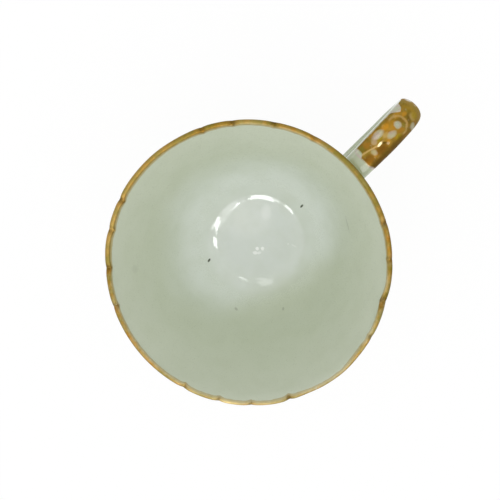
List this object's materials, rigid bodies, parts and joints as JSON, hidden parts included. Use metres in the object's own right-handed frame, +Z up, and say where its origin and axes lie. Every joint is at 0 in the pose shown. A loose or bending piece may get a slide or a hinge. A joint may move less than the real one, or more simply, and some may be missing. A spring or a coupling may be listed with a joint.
{
  "type": "teacup",
  "caption": "China teacup with a lobed gilt lip, flaring bowl, turned foot ring and gilded strap handle.",
  "frame": {"origin": "centre of the foot ring's resting face, on the axis of the cup", "axes": "+Z up along the axis of the cup, +X from that axis towards the handle"},
  "size_m": [0.116, 0.0902, 0.0551],
  "materials": {
    "glazed_china": "pale grey-green clear glaze over white china",
    "gilding": "worn burnished gilding, a film on the glaze"
  },
  "bodies": {
    "root": {"bowl": "glazed_china", "foot_ring": "glazed_china", "handle": "glazed_china", "upper_slip_joint": "glazed_china", "lower_slip_joint": "glazed_china", "rim_gilding": "gilding", "handle_gilding": "gilding", "foot_gilding": "gilding"}
  },
  "joints": []
}
